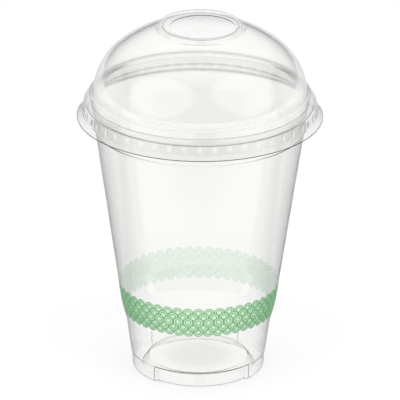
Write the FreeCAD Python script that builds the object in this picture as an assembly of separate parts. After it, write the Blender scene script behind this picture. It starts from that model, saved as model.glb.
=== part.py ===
import FreeCAD, Part
import math
import os

# A clear cold-drink cup with a green printed band, closed by a domed press-on lid with a straw hole.
# Millimetres. +Z is up, and the origin is the centre of the foot, on the surface that the cup stands on.

# Cup: one thermoformed sheet
cup_height = 119.7
cup_sheet = 0.35
rim_diameter = 95.2
curl_radius = 1.6
curl_tail = 0.3
foot_radius = 26.0
foot_proud_radius = 27.4
foot_inner_radius = 23.4
foot_chamfer = 0.5
foot_draft = 0.3
foot_flat_width = 0.8
foot_quarter = 90.0
foot_pattern_turn = 4.0
base_panel_radius = 20.5
base_panel_height = 4.4
ledge_radius = 28.1
ledge_height = 7.2
ledge_fall = 1.0
lower_wall_top_radius = 29.9
lower_wall_top = 20.4
lower_wall_round = 15.0
cone_foot_height = 30.2
cone_foot_radius = 32.3
cone_foot_round = 20.0
cone_slope = 0.1464
neck_height = 106.3
neck_step = 0.55
neck_step_rise = 0.7
wall_at_curl = 44.8

# Printed band on the outside of the wall
band_top = 38.8
band_skin = 0.1
band_repeats = 48
band_rows = 5
band_row_spacing = 2.3
band_lobe_radius = 2.15
band_lobe_sides = 8
band_clearance = 1.0

# Lid: one thermoformed sheet
lid_sheet = 0.3
lip_radius = 51.0
lip_height = 112.0
skirt_foot_radius = 48.8
skirt_foot_height = 113.4
crest_radius = 48.3
crest_height = 118.3
shoulder_radius = 45.6
shoulder_height = 122.6
shoulder_ledge_rise = 0.2
dome_radius = 44.5
dome_rise = 32.4
dome_centre_height = 120.8
dome_side_radius = 26.0
dome_start_angle = 7.0
straw_ring_foot_radius = 18.3
straw_ring_radius = 17.0
straw_ring_height = 152.3
straw_ring_inner_radius = 15.7
straw_land_radius = 15.1
straw_land_height = 151.0
straw_hole_radius = 13.6
straw_hole_offset = 0.8

# Nibs pinched into the lid's skirt, which hold it on the rim
nib_count = 48
nib_radius = 1.1
nib_depth = 0.4
nib_bottom = 113.9
nib_top = 116.3

origin = FreeCAD.Vector(0, 0, 0)
up = FreeCAD.Vector(0, 0, 1)


def at(radius, height):
    """A point of a section, which lies in the XZ plane."""
    return FreeCAD.Vector(radius, 0, height)


def corner_of_arc(centre_r, centre_z, radius, start_deg, end_deg):
    """The corner whose rounding is the arc about this centre, from one angle to the other."""
    half = math.radians(end_deg - start_deg) / 2
    middle = math.radians(start_deg + end_deg) / 2
    reach = radius / math.cos(half)
    return (centre_r + reach * math.cos(middle), centre_z + reach * math.sin(middle), radius)


def unit(a, b):
    """The direction from one section point to the next."""
    length = math.hypot(b[0] - a[0], b[1] - a[1])
    return ((b[0] - a[0]) / length, (b[1] - a[1]) / length)


def left_side(path, distance):
    """The same path, moved to its left by a distance, with its roundings kept concentric."""
    moved = []
    for i, point in enumerate(path):
        before = unit(path[i - 1], point) if i > 0 else unit(point, path[i + 1])
        after = unit(point, path[i + 1]) if i < len(path) - 1 else before
        turn = before[0] * after[1] - before[1] * after[0]
        share = distance / (1 + before[0] * after[0] + before[1] * after[1])
        r = point[0] - share * (before[1] + after[1])
        z = point[1] + share * (before[0] + after[0])
        rounding = point[2]
        if rounding > 0:
            rounding = rounding - math.copysign(distance, turn)
        moved.append((r, z, rounding))
    return moved


def rounded(path):
    """Edges along a path of (radius, height, rounding) corners."""
    edges = []
    here = at(path[0][0], path[0][1])
    for i in range(1, len(path) - 1):
        r, z, rounding = path[i]
        before = unit(path[i - 1], path[i])
        after = unit(path[i], path[i + 1])
        cosine = before[0] * after[0] + before[1] * after[1]
        half_turn = math.acos(max(-1.0, min(1.0, cosine))) / 2
        reach = rounding * math.tan(half_turn)
        start = at(r - reach * before[0], z - reach * before[1])
        end = at(r + reach * after[0], z + reach * after[1])
        inward = (after[0] - before[0], after[1] - before[1])
        size = math.hypot(inward[0], inward[1])
        sagitta = rounding * (1 / math.cos(half_turn) - 1)
        middle = at(r + sagitta * inward[0] / size, z + sagitta * inward[1] / size)
        if (start - here).Length > 1e-4:
            edges.append(Part.LineSegment(here, start).toShape())
            here = start
        if rounding > 0:
            edges.append(Part.Arc(here, middle, end).toShape())
            here = end
    edges.append(Part.LineSegment(here, at(path[-1][0], path[-1][1])).toShape())
    return edges


def line(a, b):
    return Part.LineSegment(a, b).toShape()


def closed_face(edges):
    return Part.Face(Part.Wire(Part.sortEdges(edges)[0]))


def sheet_section(path, thickness):
    """The section of a formed sheet whose outer surface follows the path, with the sheet on its left."""
    inner = left_side(path, thickness)
    caps = [line(at(*path[0][:2]), at(*inner[0][:2])), line(at(*path[-1][:2]), at(*inner[-1][:2]))]
    return closed_face(rounded(path) + rounded(inner) + caps)


def turned(face, angle=360.0, start=0.0):
    """A face revolved round the axis of the cup."""
    solid = face.revolve(origin, up, angle)
    solid.rotate(origin, up, start)
    return solid


def wall_radius(height):
    """Outside of the cup's straight taper."""
    return cone_foot_radius + cone_slope * (height - cone_foot_height)


def foot_path(radius):
    """Outer surface from the foot's flat, up its wall and over the ledge to the lower wall."""
    return [
        (radius - foot_chamfer, 0.0, 0.0),
        (radius, 2 * foot_chamfer, 0.0),
        (radius + foot_draft, ledge_height - ledge_fall, 0.0),
        (ledge_radius, ledge_height, 0.0),
    ]


def wall_path():
    """Outer surface from the lower wall up to where the curl begins."""
    return [
        (lower_wall_top_radius, lower_wall_top, lower_wall_round),
        (cone_foot_radius, cone_foot_height, cone_foot_round),
        (wall_radius(neck_height), neck_height, 0.0),
        (wall_radius(neck_height) + neck_step, neck_height + neck_step_rise, 0.0),
    ]


def foot_wedge(radius, thickness, angle, start):
    """A solid sector that fills the foot out to the given depth inside its outer surface."""
    flat_radius = foot_inner_radius + foot_flat_width
    outside = [(flat_radius, 0.0, 0.0)] + foot_path(radius) + wall_path()[:1]
    surface = left_side(outside, thickness) if thickness > 0 else outside
    middle_height = (ledge_height + lower_wall_top) / 2
    low = surface[-2]
    high = surface[-1]
    share = (middle_height - low[1]) / (high[1] - low[1])
    surface[-1] = (low[0] + share * (high[0] - low[0]), middle_height, 0.0)
    closing = [
        line(at(*surface[-1][:2]), at(flat_radius, middle_height)),
        line(at(flat_radius, middle_height), at(*surface[0][:2])),
    ]
    return turned(closed_face(rounded(surface) + closing), angle, start)


def make_cup():
    """Base panel, foot, ledge, wall, neck and rolled rim, with two quarters of the foot stood out."""
    curl_hollow = curl_radius - cup_sheet
    curl_centre = rim_diameter / 2 - curl_radius
    curl_top = cup_height - cup_sheet
    panel_underside = base_panel_height - cup_sheet
    path = [
        (0.0, panel_underside, 0.0),
        (base_panel_radius, panel_underside, 0.0),
        (foot_inner_radius, 0.0, 0.0),
    ]
    path += foot_path(foot_radius)
    path += wall_path()
    path += [
        (wall_at_curl, curl_top, curl_hollow),
        (curl_centre + curl_hollow, curl_top, curl_hollow),
        (curl_centre + curl_hollow, curl_top - 2 * curl_hollow, curl_hollow),
        (curl_centre - curl_tail, curl_top - 2 * curl_hollow, 0.0),
    ]
    cup = turned(sheet_section(path, cup_sheet))
    web_angle = math.degrees(cup_sheet / foot_radius)
    for side in (0.0, 180.0):
        start = side - foot_quarter / 2 + foot_pattern_turn
        cup = cup.fuse(foot_wedge(foot_proud_radius, 0.0, foot_quarter, start))
        inside = foot_wedge(foot_proud_radius, cup_sheet, foot_quarter - 2 * web_angle, start + web_angle)
        cup = cup.cut(inside)
    return cup.removeSplitter()


def make_lobe(height, inner, outer, turn):
    """A short many-sided bar through the wall: one circle of an outer row of the pattern."""
    corners = []
    for i in range(band_lobe_sides + 1):
        angle = math.radians(90.0 + i * 360.0 / band_lobe_sides)
        across = band_lobe_radius * math.cos(angle)
        corners.append(FreeCAD.Vector(inner, across, height + band_lobe_radius * math.sin(angle)))
    lobe = Part.Face(Part.makePolygon(corners)).extrude(FreeCAD.Vector(outer - inner, 0, 0))
    lobe.rotate(origin, up, turn)
    return lobe


def make_band():
    """A skin of ink on the wall, its two edges scalloped by the outer rows of a pattern of circles."""
    top_row = band_top - band_lobe_radius
    bottom_row = top_row - (band_rows - 1) * band_row_spacing
    low = bottom_row - band_lobe_radius - band_clearance
    high = band_top + band_clearance
    slope = (cone_foot_radius - lower_wall_top_radius) / (cone_foot_height - lower_wall_top)
    path = [
        (lower_wall_top_radius + slope * (low - lower_wall_top), low, 0.0),
        (cone_foot_radius, cone_foot_height, cone_foot_round),
        (wall_radius(high), high, 0.0),
    ]
    skin = turned(sheet_section(left_side(path, -band_skin), band_skin))
    inner = lower_wall_top_radius - band_clearance
    outer = wall_radius(high) + band_clearance
    field_height = top_row - bottom_row
    field = Part.makeCylinder(outer, field_height, at(0, bottom_row))
    field = field.cut(Part.makeCylinder(inner, field_height, at(0, bottom_row)))
    lobes = []
    for row in (top_row, bottom_row):
        for i in range(band_repeats):
            lobes.append(make_lobe(row, inner, outer, i * 360.0 / band_repeats))
    return skin.common(field.fuse(lobes)).removeSplitter()


def dome_path():
    """Outer surface of the dome, from its foot to the ring round the straw hole."""
    side_centre = dome_radius - dome_side_radius
    rise = dome_rise
    side = dome_side_radius
    top = (side_centre ** 2 + rise ** 2 - side ** 2) / (2 * (rise - side))
    join = math.degrees(math.atan2(top - rise, side_centre))
    crown_centre = dome_centre_height + rise - top
    crown_end = math.degrees(math.acos(straw_ring_foot_radius / top))
    crown_end_height = crown_centre + top * math.sin(math.radians(crown_end))
    lean = math.tan(math.radians(dome_start_angle))
    start_r = side_centre + side * math.cos(math.radians(dome_start_angle))
    start_z = dome_centre_height + side * math.sin(math.radians(dome_start_angle))
    foot_z = shoulder_height + shoulder_ledge_rise
    return [
        (start_r + lean * (start_z - foot_z), foot_z, 0.0),
        corner_of_arc(side_centre, dome_centre_height, side, dome_start_angle, join),
        corner_of_arc(0.0, crown_centre, top, join, crown_end),
        (straw_ring_foot_radius, crown_end_height, 0.0),
    ]


def make_nib(extra, bottom, top):
    """An upright pin that pinches the skirt inwards, or the same pin grown by the sheet's thickness."""
    middle = (bottom + top) / 2
    share = (middle - skirt_foot_height) / (crest_height - skirt_foot_height)
    skirt = skirt_foot_radius + share * (crest_radius - skirt_foot_radius)
    centre = skirt + nib_radius - nib_depth
    return Part.makeCylinder(nib_radius + extra, top - bottom + 2 * extra, at(centre, bottom - extra))


def make_lid():
    """Lip, skirt with nibs, shoulder, dome and the raised ring round the off-centre straw hole."""
    path = [
        (lip_radius, lip_height, 0.0),
        (skirt_foot_radius, skirt_foot_height, 0.0),
        (crest_radius, crest_height, 0.0),
        (shoulder_radius, shoulder_height, 0.0),
    ]
    path += dome_path()
    path += [
        (straw_ring_radius, straw_ring_height, 0.0),
        (straw_ring_inner_radius, straw_ring_height, 0.0),
        (straw_land_radius, straw_land_height, 0.0),
        (straw_hole_radius - 2 * straw_hole_offset, straw_land_height, 0.0),
    ]
    lid = turned(sheet_section(path, lid_sheet))
    punch_bottom = straw_land_height - 2 * lid_sheet
    lid = lid.cut(Part.makeCylinder(straw_hole_radius, 3 * lid_sheet, at(straw_hole_offset, punch_bottom)))
    half_sheet = lid_sheet / 2
    core = Part.makeCone(
        skirt_foot_radius - half_sheet, crest_radius - half_sheet,
        crest_height - skirt_foot_height, at(0, skirt_foot_height))
    bump = make_nib(lid_sheet, nib_bottom, nib_top).common(core)
    pinch = make_nib(0.0, nib_bottom, nib_top)
    bumps = []
    pinches = []
    for i in range(nib_count):
        turn = i * 360.0 / nib_count
        for kind, group in ((bump, bumps), (pinch, pinches)):
            copy = kind.copy()
            copy.rotate(origin, up, turn)
            group.append(copy)
    return lid.fuse(bumps).cut(pinches).removeSplitter()


def export(name, shape):
    """Writes one sub-part, after a look at its solid."""
    solid = shape.Solids[0] if len(shape.Solids) == 1 else shape
    print(name, "solids", len(shape.Solids), "valid", solid.isValid(), "volume", round(solid.Volume, 1))
    solid.exportStep(os.path.join("parts", name + ".step"))


os.makedirs("parts", exist_ok=True)
export("cup", make_cup())
export("printed_band", make_band())
export("dome_lid", make_lid())
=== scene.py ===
import math

import bmesh
import bpy
from mathutils import Euler, Matrix, Vector


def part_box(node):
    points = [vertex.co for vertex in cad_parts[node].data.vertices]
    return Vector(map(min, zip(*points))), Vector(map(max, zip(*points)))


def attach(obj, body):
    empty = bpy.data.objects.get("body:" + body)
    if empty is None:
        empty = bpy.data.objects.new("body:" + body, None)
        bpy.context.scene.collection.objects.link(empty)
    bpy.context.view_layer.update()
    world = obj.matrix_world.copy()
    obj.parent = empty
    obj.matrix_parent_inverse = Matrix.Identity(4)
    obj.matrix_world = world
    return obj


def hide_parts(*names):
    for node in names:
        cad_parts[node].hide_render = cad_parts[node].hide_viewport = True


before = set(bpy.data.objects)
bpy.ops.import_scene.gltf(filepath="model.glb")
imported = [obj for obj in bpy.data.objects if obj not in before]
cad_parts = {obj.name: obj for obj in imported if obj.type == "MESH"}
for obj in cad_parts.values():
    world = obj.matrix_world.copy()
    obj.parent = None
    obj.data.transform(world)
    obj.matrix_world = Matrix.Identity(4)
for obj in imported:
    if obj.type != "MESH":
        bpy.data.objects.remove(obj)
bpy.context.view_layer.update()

bpy.ops.object.select_all(action="DESELECT")


# Cup. One sheet of clear PET, drawn hot into a mould: raised base panel, foot ring, ledge, a lower wall
# that bends smoothly into the tapered wall, a neck step for the lid and a rolled rim. The foot ring
# stands out in its left and right quarters and is set back in its front and back quarters.
MM = 0.001
cup_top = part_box("cup")[1]
cup_height = cup_top.z / MM
rim_radius = cup_top.x / MM
cup_sheet = 0.35
curl_radius = 1.6
curl_tip = 0.3
base_panel_radius = 20.5
base_panel_height = 4.05
foot_inner_radius = 23.4
foot_flat_end = 24.2
foot_radius = 26.0
foot_proud = 1.4
foot_turn = math.radians(4)
ledge_inner_radius = 26.3
ledge_inner_height = 6.2
ledge_radius = 28.1
ledge_height = 7.2
lower_wall_top = (29.9, 20.4)
cone_foot = (32.3, 30.2)
cone_slope = 0.1464
neck_height = 106.3
neck_step = 0.55
neck_rise = 0.7
wall_at_curl = 44.8
panel_bend = 0.3
sheet_bend = 0.6
foot_bend = 1.2
lower_wall_bend = 15.0
cone_bend = 20.0
columns = 288


def start_ring(name, radius, height, count, filled):
    """A piece that starts as one ring round the cup's axis, left in edit mode with the ring selected."""
    bpy.ops.mesh.primitive_circle_add(
        vertices=count, radius=radius * MM, location=(0, 0, height * MM),
        fill_type="TRIFAN" if filled else "NOTHING")
    piece = bpy.context.object
    piece.name = name
    bpy.ops.object.transform_apply(location=True, rotation=True, scale=True)
    bpy.ops.object.mode_set(mode="EDIT")
    bpy.context.tool_settings.mesh_select_mode = (False, True, False)
    return piece


def select_ring(radius, height):
    """Selects the ring of edges that lies at this radius and height."""
    bpy.ops.mesh.select_all(action="DESELECT")
    mesh = bmesh.from_edit_mesh(bpy.context.edit_object.data)
    place = Vector((radius * MM, height * MM))
    for edge in mesh.edges:
        ends = [Vector((vert.co.xy.length, vert.co.z)) for vert in edge.verts]
        if all((end - place).length < 0.02 * MM for end in ends):
            edge.select_set(True)
    bmesh.update_edit_mesh(bpy.context.edit_object.data)


def draw_sheet(path):
    """Draws the first ring out along a path of (radius, height, rounding) corners, then rounds them."""
    select_ring(*path[0][:2])
    for here, there in zip(path, path[1:]):
        grow = there[0] / here[0]
        bpy.ops.mesh.extrude_edges_move()
        bpy.ops.transform.resize(value=(grow, grow, 1), center_override=(0, 0, 0))
        bpy.ops.transform.translate(value=(0, 0, (there[1] - here[1]) * MM))
    for before, corner, after in zip(path, path[1:], path[2:]):
        if corner[2] > 0:
            come = Vector(corner[:2]) - Vector(before[:2])
            leave = Vector(after[:2]) - Vector(corner[:2])
            turn = come.angle(leave)
            select_ring(*corner[:2])
            bpy.ops.mesh.bevel(
                offset_type="OFFSET", offset=corner[2] * math.tan(turn / 2) * MM,
                segments=max(2, round(math.degrees(turn) / 10)), affect="EDGES", clamp_overlap=False)


def face_outwards():
    """Merges what lies together and turns the sheet's faces away from the cup's axis."""
    bpy.ops.mesh.select_all(action="SELECT")
    bpy.ops.mesh.remove_doubles(threshold=0.01 * MM)
    bpy.ops.mesh.normals_make_consistent(inside=False)
    mesh = bmesh.from_edit_mesh(bpy.context.edit_object.data)
    outward = sum(
        face.normal.dot(Vector((*face.calc_center_median().xy, 0)).normalized()) * face.calc_area()
        for face in mesh.faces)
    if outward < 0:
        bpy.ops.mesh.flip_normals()


def give_thickness(piece, sheet):
    """Ends edit mode and makes the drawn surface a sheet, which lies on its inner side."""
    bpy.ops.object.mode_set(mode="OBJECT")
    wall = piece.modifiers.new("sheet", "SOLIDIFY")
    wall.thickness = sheet * MM
    wall.offset = -1
    wall.use_even_offset = True
    bpy.ops.object.modifier_apply(modifier=wall.name)
    bpy.ops.object.shade_smooth_by_angle(angle=math.radians(50))
    soft = piece.modifiers.new("flats", "WEIGHTED_NORMAL")
    soft.keep_sharp = True
    bpy.ops.object.modifier_apply(modifier=soft.name)


neck_radius = cone_foot[0] + cone_slope * (neck_height - cone_foot[1])
curl_hollow = curl_radius - cup_sheet
curl_centre = rim_radius - curl_radius
curl_top = cup_height - cup_sheet
curl_bottom = curl_top - 2 * curl_hollow
cup = start_ring("clear_cup", base_panel_radius, base_panel_height, columns, True)
draw_sheet([
    (base_panel_radius, base_panel_height, 0.0),
    (foot_inner_radius, 0.0, sheet_bend),
    (foot_flat_end, 0.0, 0.0),
    (foot_radius, 0.0, foot_bend),
    (ledge_inner_radius, ledge_inner_height, sheet_bend),
    (ledge_radius, ledge_height, sheet_bend),
    (*lower_wall_top, lower_wall_bend),
    (*cone_foot, cone_bend),
    (neck_radius, neck_height, sheet_bend),
    (neck_radius + neck_step, neck_height + neck_rise, sheet_bend),
    (wall_at_curl, curl_top, curl_hollow),
    (curl_centre + curl_hollow, curl_top, curl_hollow),
    (curl_centre + curl_hollow, curl_bottom, curl_hollow),
    (curl_centre - curl_tip, curl_bottom, 0.0),
])
select_ring(base_panel_radius, base_panel_height)
bpy.ops.mesh.bevel(
    offset_type="OFFSET", offset=panel_bend * MM, segments=4, affect="EDGES", clamp_overlap=False)

# The left and right quarters of the foot ring are pushed out, and their ledge is narrower by as much.
mesh = bmesh.from_edit_mesh(cup.data)
for vert in mesh.verts:
    radius = vert.co.xy.length / MM
    height = vert.co.z / MM
    across = math.atan2(vert.co.y, vert.co.x) - foot_turn
    in_side_quarter = abs(math.cos(across)) > math.cos(math.radians(45))
    in_foot = foot_flat_end + 0.05 < radius < ledge_radius and height < ledge_height + 0.01
    if in_side_quarter and in_foot:
        share = min(1.0, (ledge_radius - radius) / (ledge_radius - ledge_inner_radius))
        vert.co.xy *= 1 + share * foot_proud / radius
bmesh.update_edit_mesh(cup.data)
face_outwards()
give_thickness(cup, cup_sheet)


def linear(hex_colour, alpha=1.0):
    """An sRGB hex colour as Blender's linear colour."""
    parts = [int(hex_colour[i:i + 2], 16) / 255 for i in (1, 3, 5)]
    parts = [p / 12.92 if p <= 0.04045 else ((p + 0.055) / 1.055) ** 2.4 for p in parts]
    return (*parts, alpha)


def add_node(material, kind, settings, inputs):
    """Adds a node. An input is a value, a node whose first output it takes, or a (node, output) pair."""
    tree = material.node_tree
    node = tree.nodes.new(kind)
    for name, value in settings.items():
        setattr(node, name, value)
    for socket, value in inputs.items():
        if isinstance(value, bpy.types.Node):
            value = (value, 0)
        if isinstance(value, tuple) and isinstance(value[0], bpy.types.Node):
            tree.links.new(value[0].outputs[value[1]], node.inputs[socket])
        else:
            node.inputs[socket].default_value = value
    return node


wave_size = 9.0


def clear_pet(name, tint, painted_edge_grey, roughness, shade=None):
    """Thermoformed PET: glass-clear and glossy, with the slow waves that drawing a hot sheet leaves.
    It is painted greyer where it's looked through aslant: painted shade at its outlines and flanks. Lamps
    shine through it, so its shadow is faint."""
    material = bpy.data.materials.new(name)
    material.use_nodes = True
    material.node_tree.nodes.clear()
    place = add_node(material, "ShaderNodeTexCoord", {}, {})
    waves = add_node(material, "ShaderNodeTexNoise", {}, {
        "Vector": (place, "Object"), "Scale": 1 / (wave_size * MM), "Detail": 1.0})
    bump = add_node(material, "ShaderNodeBump", {}, {
        "Height": (waves, "Fac"), "Strength": 0.05, "Distance": 0.0005})
    # Painted shade: the colour turns grey where the sheet is looked at aslant, at its outlines and flanks.
    slant = add_node(material, "ShaderNodeLayerWeight", {}, {"Blend": 0.5})
    painted_edge_share = add_node(material, "ShaderNodeMapRange", {}, {
        "Value": (slant, "Facing"), "From Min": 0.5, "From Max": 0.95})
    straight = (shade(material, place), 2) if shade else linear(tint)
    grey = add_node(material, "ShaderNodeMix", {"data_type": "RGBA"}, {
        0: painted_edge_share, 6: straight, 7: linear(painted_edge_grey)})
    sheet = add_node(material, "ShaderNodeBsdfPrincipled", {}, {
        "Base Color": (grey, 2), "Roughness": roughness, "IOR": 1.57,
        "Transmission Weight": 1.0, "Normal": bump})
    through = add_node(material, "ShaderNodeBsdfTransparent", {}, {"Color": linear("#FBFBFB")})
    rays = add_node(material, "ShaderNodeLightPath", {}, {})
    mix = add_node(material, "ShaderNodeMixShader", {}, {0: (rays, "Is Shadow Ray"), 1: sheet, 2: through})
    add_node(material, "ShaderNodeOutputMaterial", {}, {"Surface": mix})
    return material


cup.data.materials.append(clear_pet("clear PET, thermoformed", "#FFFFFE", "#E4E6E5", 0.02))
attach(cup, "cup_body")
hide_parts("cup")


# Printed band. Green ink, rolled onto the outside of the wall before the cup is filled: five rows of
# overlapping circles, each of fine rings about a dot. The ink is thin and lets light through, so the
# band's far side is pale where it's seen through the cup: its ink is partly left bare, and its colours
# are painted paler, which is painted light from behind.
band_low, band_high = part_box("printed_band")
band_top = band_high.z / MM
band_repeats = 48
circle_radius = 2.15
row_spacing = 2.3
# The print's rings are about 0.73 mm apart, which is too fine to show. They are drawn as coarse as they
# need to be to show.
ring_pitch = 0.85
ring_line = 0.16
dot_radius = 0.34
band_middle = band_top - circle_radius - 2 * row_spacing
band_bottom = 2 * band_middle - band_top
ink_gap = 0.02
ink = 0.06
band_columns = 480


def cone_radius(height):
    """Outside of the cup's wall at the height of the band, where the taper runs into the foot's bend."""
    return cone_foot[0] + cone_slope * (height - cone_foot[1])


low_slope = (cone_foot[0] - lower_wall_top[0]) / (cone_foot[1] - lower_wall_top[1])
low_radius = lower_wall_top[0] + low_slope * (band_bottom - lower_wall_top[1])
stand_off = ink_gap + ink
band = start_ring("printed_band_ink", low_radius + stand_off, band_bottom, band_columns, False)
draw_sheet([
    (low_radius + stand_off, band_bottom, 0.0),
    (cone_foot[0] + stand_off, cone_foot[1], cone_bend),
    (cone_radius(band_top) + stand_off, band_top, 0.0),
])
face_outwards()
give_thickness(band, ink)


def green_circles(name, line, fill, dot, line_cover, fill_cover):
    """Printing ink in a net of circles, dense in the lines and thinner between. Towards the band's flanks,
    looked at aslant, the colour is drawn towards the line colour: painted shade. Each side of the film is
    seen only from in front of it."""
    material = bpy.data.materials.new(name)
    material.use_nodes = True
    material.node_tree.nodes.clear()
    place = add_node(material, "ShaderNodeTexCoord", {}, {})
    split = add_node(material, "ShaderNodeSeparateXYZ", {}, {"Vector": (place, "Object")})
    around = add_node(material, "ShaderNodeMath", {"operation": "ARCTAN2"}, {
        0: (split, "Y"), 1: (split, "X")})
    height = add_node(material, "ShaderNodeMath", {"operation": "MULTIPLY_ADD"}, {
        0: (split, "Z"), 1: 1 / MM, 2: -band_middle})
    rise = add_node(material, "ShaderNodeMath", {"operation": "ABSOLUTE"}, {0: height})
    pitch = math.tau * cone_radius(band_middle) / band_repeats
    from_centres = []
    for row, shift in ((0, 0.5), (1, 0.0), (2, 0.5)):
        column = add_node(material, "ShaderNodeMath", {"operation": "MULTIPLY_ADD"}, {
            0: around, 1: band_repeats / math.tau, 2: shift + band_repeats})
        part = add_node(material, "ShaderNodeMath", {"operation": "FRACT"}, {0: column})
        across = add_node(material, "ShaderNodeMath", {"operation": "MULTIPLY_ADD"}, {
            0: part, 1: pitch, 2: -pitch / 2})
        up = add_node(material, "ShaderNodeMath", {"operation": "SUBTRACT"}, {0: rise, 1: row * row_spacing})
        offset = add_node(material, "ShaderNodeCombineXYZ", {}, {"X": across, "Y": up})
        length = add_node(material, "ShaderNodeVectorMath", {"operation": "LENGTH"}, {0: offset})
        from_centres.append((length, "Value"))
    # The rows lie over each other from the middle of the band outwards, the middle one on top.
    nearest = from_centres[2]
    for upper in (from_centres[1], from_centres[0]):
        covers = add_node(material, "ShaderNodeMath", {"operation": "LESS_THAN"}, {
            0: upper, 1: circle_radius})
        nearest = add_node(material, "ShaderNodeMix", {}, {0: covers, 2: nearest, 3: upper})
    inside = add_node(material, "ShaderNodeMath", {"operation": "LESS_THAN"}, {0: nearest, 1: circle_radius})
    phase = add_node(material, "ShaderNodeMath", {"operation": "MULTIPLY_ADD"}, {
        0: nearest, 1: -math.tau / ring_pitch, 2: math.tau * (circle_radius - ring_line) / ring_pitch})
    wave = add_node(material, "ShaderNodeMath", {"operation": "COSINE"}, {0: phase})
    ring = add_node(material, "ShaderNodeMapRange", {"interpolation_type": "SMOOTHSTEP"}, {
        "Value": wave, "From Min": -0.35, "From Max": 0.55})
    centre = add_node(material, "ShaderNodeMath", {"operation": "LESS_THAN"}, {0: nearest, 1: dot_radius})
    rings = add_node(material, "ShaderNodeMix", {"data_type": "RGBA"}, {
        0: ring, 6: linear(fill), 7: linear(line)})
    dotted = add_node(material, "ShaderNodeMix", {"data_type": "RGBA"}, {
        0: centre, 6: (rings, 2), 7: linear(dot)})
    # Painted shade: at the band's flanks the colour runs towards the line colour.
    slant = add_node(material, "ShaderNodeLayerWeight", {}, {"Blend": 0.5})
    painted_flank_shade = add_node(material, "ShaderNodeMapRange", {}, {
        "Value": (slant, "Facing"), "From Min": 0.25, "From Max": 0.65, "To Max": 0.5})
    colour = add_node(material, "ShaderNodeMix", {"data_type": "RGBA"}, {
        0: painted_flank_shade, 6: (dotted, 2), 7: linear(line)})
    film = add_node(material, "ShaderNodeBsdfPrincipled", {}, {
        "Base Color": (colour, 2), "Roughness": 0.4, "IOR": 1.5, "Specular IOR Level": 0.2})
    bare = add_node(material, "ShaderNodeBsdfTransparent", {}, {})
    side = add_node(material, "ShaderNodeNewGeometry", {}, {})
    in_front = add_node(material, "ShaderNodeMath", {"operation": "SUBTRACT"}, {
        0: 1.0, 1: (side, "Backfacing")})
    printed = add_node(material, "ShaderNodeMath", {"operation": "MULTIPLY"}, {0: inside, 1: in_front})
    dense = add_node(material, "ShaderNodeMapRange", {}, {
        "Value": ring, "To Min": fill_cover, "To Max": line_cover})
    cover = add_node(material, "ShaderNodeMath", {"operation": "MULTIPLY"}, {0: printed, 1: dense})
    mix = add_node(material, "ShaderNodeMixShader", {}, {0: cover, 1: bare, 2: film})
    add_node(material, "ShaderNodeOutputMaterial", {}, {"Surface": mix})
    return material


band.data.materials.append(green_circles(
    "green printing ink", "#188F40", "#E4FDE0", "#FFFFFF", 1.0, 1.0))
# From behind, the ink's colours are painted paler: painted light, standing in for light through the ink.
band.data.materials.append(green_circles(
    "green ink from behind", "#9AD3AA", "#BFE5C6", "#CFEFD5", 0.36, 0.29))
for face in band.data.polygons:
    if face.normal.xy.dot(face.center.xy) < 0:
        face.material_index = 1
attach(band, "cup_body")
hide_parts("printed_band")


# Lid. One thinner sheet of the same PET: a lip to pull it off by, a skirt with 48 nibs that
# catch under the cup's rim, a shoulder that sits on the rim, the dome, and a raised ring round the
# punched straw hole, which sits a little off the middle.
lid_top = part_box("dome_lid")[1]
lid_sheet = 0.3
lip_radius = lid_top.x / MM
lip_height = 112.0
lip_turn_down = 0.25
lip_bend = 0.15
skirt_foot = (48.8, 113.4)
skirt_bend = 0.7
crest = (48.3, 118.3)
crest_bend = 2.0
shoulder = (45.6, 122.6)
shoulder_bend = 1.0
nib_count = 48
nib_bottom = 114.25
nib_top = 116.65
nib_slope = 0.3
nib_depth = 0.4
dome_radius = 44.5
dome_rise = 32.4
dome_centre_height = 120.8
dome_side_radius = 26.0
dome_start = math.radians(7)
dome_foot_lift = 0.2
dome_foot_bend = 1.1
ring_foot_radius = 18.3
ring_foot_bend = 1.6
ring_top = lid_top.z / MM
ring_outer_radius = 17.0
ring_outer_bend = 0.55
ring_inner_radius = 16.2
ring_inner_bend = 0.9
hole_rim_radius = 15.1
hole_rim_height = 151.0
straw_hole_radius = 13.6
straw_hole_offset = 0.8
lid_columns = 384


def skirt_at(height):
    """The skirt's radius at a height."""
    share = (height - skirt_foot[1]) / (crest[1] - skirt_foot[1])
    return skirt_foot[0] + share * (crest[0] - skirt_foot[0])


# The dome's line is two arcs that run into each other: a steep one at the side and a flat one on top.
side_centre = dome_radius - dome_side_radius
crown_radius = (side_centre ** 2 + dome_rise ** 2 - dome_side_radius ** 2) / (
    2 * (dome_rise - dome_side_radius))
crown_centre = dome_centre_height + dome_rise - crown_radius
join = math.atan2(crown_radius - dome_rise, side_centre)
crown_end = math.acos(ring_foot_radius / crown_radius)
dome = []
for i in range(17):
    angle = dome_start + (join - dome_start) * i / 16
    dome.append((side_centre + dome_side_radius * math.cos(angle),
                 dome_centre_height + dome_side_radius * math.sin(angle), 0.0))
for i in range(1, 11):
    angle = join + (crown_end - join) * i / 10
    dome.append((crown_radius * math.cos(angle), crown_centre + crown_radius * math.sin(angle), 0.0))
dome[-1] = (*dome[-1][:2], ring_foot_bend)
dome_foot_height = shoulder[1] + dome_foot_lift
dome_foot = dome[0][0] + math.tan(dome_start) * (dome[0][1] - dome_foot_height)

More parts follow.
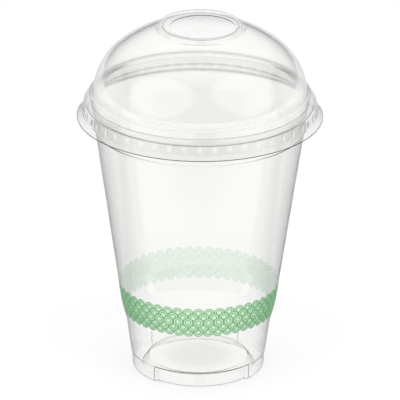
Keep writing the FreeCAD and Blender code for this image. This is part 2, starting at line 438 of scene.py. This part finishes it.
lip_foot = lip_height - lip_turn_down
nib_rows = [nib_bottom, nib_bottom + nib_slope, nib_top - nib_slope, nib_top]
lid = start_ring("domed_lid", lip_radius, lip_foot, lid_columns, False)
draw_sheet(
    [(lip_radius, lip_foot, 0.0), (lip_radius, lip_height, lip_bend), (*skirt_foot, skirt_bend)]
    + [(skirt_at(height), height, 0.0) for height in nib_rows]
    + [(*crest, crest_bend), (*shoulder, shoulder_bend), (dome_foot, dome_foot_height, dome_foot_bend)]
    + dome
    + [(ring_outer_radius, ring_top, ring_outer_bend), (ring_inner_radius, ring_top, ring_inner_bend),
       (hole_rim_radius, hole_rim_height, ring_inner_bend), (straw_hole_radius, hole_rim_height, 0.0)])
select_ring(straw_hole_radius, hole_rim_height)
bpy.ops.transform.translate(value=(straw_hole_offset * MM, 0, 0))

# Each nib is a column of the skirt's two middle rows, pushed in.
mesh = bmesh.from_edit_mesh(lid.data)
for vert in mesh.verts:
    radius = vert.co.xy.length / MM
    height = vert.co.z / MM
    turn = math.atan2(vert.co.y, vert.co.x) / math.tau * nib_count
    in_nib_rows = nib_rows[1] - 0.05 < height < nib_rows[2] + 0.05 and radius > crest[0] - 1
    if in_nib_rows and abs(turn - round(turn)) < 0.01:
        vert.co.xy *= 1 - nib_depth / radius
bmesh.update_edit_mesh(lid.data)
face_outwards()
give_thickness(lid, lid_sheet)


def skirt_painted_shade(material, place):
    """The skirt's sheet is painted a little grey, painted shade between the nibs, and is left clear in the
    nibs, which show lighter.
    """
    split = add_node(material, "ShaderNodeSeparateXYZ", {}, {"Vector": (place, "Object")})
    around = add_node(material, "ShaderNodeMath", {"operation": "ARCTAN2"}, {
        0: (split, "Y"), 1: (split, "X")})
    turn = add_node(material, "ShaderNodeMath", {"operation": "MULTIPLY"}, {
        0: around, 1: nib_count / math.tau})
    beside = add_node(material, "ShaderNodeMath", {"operation": "PINGPONG"}, {0: turn, 1: 0.5})
    in_column = add_node(material, "ShaderNodeMath", {"operation": "LESS_THAN"}, {0: beside, 1: 0.15})
    height = add_node(material, "ShaderNodeMath", {"operation": "DIVIDE"}, {0: (split, "Z"), 1: MM})
    in_rows = add_node(material, "ShaderNodeMath", {"operation": "COMPARE"}, {
        0: height, 1: (nib_bottom + nib_top) / 2, 2: (nib_top - nib_bottom) / 2})
    in_nib = add_node(material, "ShaderNodeMath", {"operation": "MULTIPLY"}, {0: in_column, 1: in_rows})
    on_skirt = add_node(material, "ShaderNodeMath", {"operation": "LESS_THAN"}, {0: height, 1: crest[1]})
    painted_shade_share = add_node(material, "ShaderNodeMix", {}, {0: in_nib, 2: on_skirt, 3: 0.0})
    return add_node(material, "ShaderNodeMix", {"data_type": "RGBA"}, {
        0: painted_shade_share, 6: linear("#FFFFFE"), 7: linear("#F4F6F4")})


# The lid's skirt carries painted shade: greyer between the nibs, clear in them.
lid.data.materials.append(clear_pet("clear PET, thermoformed lid", "#FFFFFE", "#E8EAE9", 0.06, skirt_painted_shade))
# The upright cut edges at the lip and round the straw hole are tinted dark grey: painted shade for the dark
# line a clear sheet's edge shows.
lid.data.materials.append(clear_pet("cut edge of the PET sheet, painted shade", "#6E7672", "#6E7672", 0.3))
for face in lid.data.polygons:
    from_axis = face.center.xy.length / MM
    height = face.center.z / MM
    upright = abs(face.normal.z) < 0.6
    at_lip = from_axis > lip_radius - 0.4 and height < lip_height
    at_hole = from_axis < straw_hole_radius + 1 and height > hole_rim_height - 0.5
    if upright and (at_lip or at_hole):
        face.material_index = 1
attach(lid, "lid_body")
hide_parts("dome_lid")


# Studio: a white table that keeps the cup's faint shadow, and a soft box at each side and above. The
# plastic mirrors lighter and darker strips glowing on the table, which only reflections see: painted
# reflections. The room round it has lighter patches.
bpy.ops.mesh.primitive_plane_add(size=8)
floor = bpy.context.object
floor.name = "white_table"
table = bpy.data.materials.new("white table top")
table.use_nodes = True
table.node_tree.nodes.clear()
rays = add_node(table, "ShaderNodeLightPath", {}, {})
place = add_node(table, "ShaderNodeTexCoord", {}, {})
split = add_node(table, "ShaderNodeSeparateXYZ", {}, {"Vector": (place, "Object")})
# Painted reflections: for mirrored rays the table glows in strips, with a darker line across it beside the
# cup.
strips = 0.1
for start, end, rise in ((-0.7, -0.25, 0.55), (-0.04, 0.04, -0.3), (0.15, 0.4, 0.5)):
    strip = add_node(table, "ShaderNodeMapRange", {"interpolation_type": "SMOOTHSTEP"}, {
        "Value": (split, "Y"), "From Min": start, "From Max": end, "To Max": rise})
    strips = add_node(table, "ShaderNodeMath", {"operation": "ADD"}, {0: strip, 1: strips})
off_line = add_node(table, "ShaderNodeMath", {"operation": "ABSOLUTE"}, {0: (split, "Y")})
painted_dark_reflection = add_node(table, "ShaderNodeMapRange", {"interpolation_type": "SMOOTHSTEP"}, {
    "Value": off_line, "From Min": 0.045, "From Max": 0.01, "To Max": -0.5})
beside = add_node(table, "ShaderNodeMath", {"operation": "ABSOLUTE"}, {0: (split, "X")})
clear_of_cup = add_node(table, "ShaderNodeMapRange", {"interpolation_type": "SMOOTHSTEP"}, {
    "Value": beside, "From Min": 0.06, "From Max": 0.1})
strips = add_node(table, "ShaderNodeMath", {"operation": "MULTIPLY_ADD"}, {
    0: painted_dark_reflection, 1: clear_of_cup, 2: strips})
# Painted shadow: seen through the cup, the table glows less under and just behind its foot.
from_foot = add_node(table, "ShaderNodeVectorMath", {"operation": "DISTANCE"}, {
    0: (place, "Object"), 1: (0.0, 0.008, 0.0)})
painted_foot_shadow = add_node(table, "ShaderNodeMapRange", {"interpolation_type": "SMOOTHSTEP"}, {
    "Value": (from_foot, "Value"), "From Min": 0.008, "From Max": 0.019, "To Min": 0.73, "To Max": 0.9})
seen_through = add_node(table, "ShaderNodeMath", {"operation": "MULTIPLY"}, {
    0: (rays, "Is Transmission Ray"), 1: painted_foot_shadow})
seen = add_node(table, "ShaderNodeMath", {"operation": "MULTIPLY_ADD"}, {
    0: (rays, "Is Camera Ray"), 1: 0.525, 2: seen_through})
mirrored = add_node(table, "ShaderNodeMath", {"operation": "COMPARE"}, {
    0: (rays, "Glossy Depth"), 1: 1.0, 2: 0.5})
glow = add_node(table, "ShaderNodeMix", {}, {0: mirrored, 2: seen, 3: strips})
# In reflections the table is a darker grey: painted reflection.
matt = add_node(table, "ShaderNodeBsdfDiffuse", {}, {"Color": linear("#A8A8A8")})
dark = add_node(table, "ShaderNodeBsdfDiffuse", {}, {"Color": linear("#505050")})
shaded = add_node(table, "ShaderNodeMixShader", {}, {0: (rays, "Is Glossy Ray"), 1: matt, 2: dark})
light = add_node(table, "ShaderNodeEmission", {}, {"Color": (1, 1, 1, 1), "Strength": glow})
both = add_node(table, "ShaderNodeAddShader", {}, {0: shaded, 1: light})
add_node(table, "ShaderNodeOutputMaterial", {}, {"Surface": both})
floor.data.materials.append(table)

world = bpy.data.worlds.new("studio")
bpy.context.scene.world = world
world.use_nodes = True
world.node_tree.nodes.clear()
rays = add_node(world, "ShaderNodeLightPath", {}, {})
way = add_node(world, "ShaderNodeTexCoord", {}, {})
glow = 0.1
for azimuth, height, inner, outer, strength in (
        (-52, 36, 30, 38, 0.7), (64, 38, 30, 38, 0.65), (180, 52, 24, 56, 0.95),
        (-124, 2, 6, 30, 0.45), (124, 2, 6, 30, 0.45)):
    turn, rise = math.radians(azimuth), math.radians(height)
    centre = (math.sin(turn) * math.cos(rise), -math.cos(turn) * math.cos(rise), math.sin(rise))
    near = add_node(world, "ShaderNodeVectorMath", {"operation": "DOT_PRODUCT"}, {
        0: (way, "Generated"), 1: centre})
    patch = add_node(world, "ShaderNodeMapRange", {"interpolation_type": "SMOOTHSTEP"}, {
        "Value": (near, "Value"), "From Min": math.cos(math.radians(outer)),
        "From Max": math.cos(math.radians(inner)), "To Max": strength})
    glow = add_node(world, "ShaderNodeMath", {"operation": "ADD"}, {0: patch, 1: glow})
plain = add_node(world, "ShaderNodeBackground", {}, {"Color": (1, 1, 1, 1), "Strength": 1.0})
studio = add_node(world, "ShaderNodeBackground", {}, {"Color": (1, 1, 1, 1), "Strength": glow})
room = add_node(world, "ShaderNodeBackground", {}, {"Color": (1, 1, 1, 1), "Strength": 0.9})
bounces = add_node(world, "ShaderNodeMath", {"operation": "MULTIPLY_ADD"}, {
    0: (rays, "Diffuse Depth"), 1: 2.0, 2: (rays, "Glossy Depth")})
past_first = add_node(world, "ShaderNodeMath", {"operation": "GREATER_THAN"}, {0: bounces, 1: 1.5})
around = add_node(world, "ShaderNodeMixShader", {}, {0: past_first, 1: studio, 2: room})
look = add_node(world, "ShaderNodeMixShader", {}, {0: (rays, "Is Camera Ray"), 1: around, 2: plain})
add_node(world, "ShaderNodeOutputWorld", {}, {"Surface": look})


def soft_box(name, place, aim, width, height, watts):
    """A soft box that faces a point. Its mirror image is the world's soft patch, with blurred edges."""
    bpy.ops.object.light_add(type="AREA", location=place)
    lamp = bpy.context.object
    lamp.name = name
    lamp.data.shape = "RECTANGLE"
    lamp.data.size = width
    lamp.data.size_y = height
    lamp.data.energy = watts
    lamp.visible_glossy = False
    lamp.visible_transmission = False
    lamp.rotation_euler = (Vector(aim) - Vector(place)).to_track_quat("-Z", "Y").to_euler()


middle = (0, 0, 0.075)
soft_box("left_box", (-0.7, -0.7, 0.6), middle, 0.5, 0.8, 5)
soft_box("right_box", (0.7, -0.7, 0.6), middle, 0.5, 0.8, 5)
soft_box("top_box", (0, 0.1, 1.2), middle, 1.2, 1.2, 3)

# Camera: a long lens from 3 m away, 22.6 degrees above the table, rolled a touch as in the photograph.
camera_data = bpy.data.cameras.new("camera")
camera = bpy.data.objects.new("camera", camera_data)
bpy.context.collection.objects.link(camera)
bpy.context.scene.camera = camera
camera_data.sensor_width = 36
camera_data.lens = 655.4
camera_data.clip_end = 50
distance = 3.03
raised = math.radians(22.6)
roll = math.radians(0.42)
aim = Vector((0.0003, 0, 0.07374))
camera.location = aim + Vector((0, -distance * math.cos(raised), distance * math.sin(raised)))
looking = Euler((math.pi / 2 - raised, 0, 0)).to_matrix()
camera.rotation_euler = (looking @ Matrix.Rotation(roll, 3, "Z")).to_euler()

scene = bpy.context.scene
scene.view_settings.view_transform = "Standard"
scene.cycles.max_bounces = 32
scene.cycles.transmission_bounces = 32
scene.cycles.transparent_max_bounces = 32
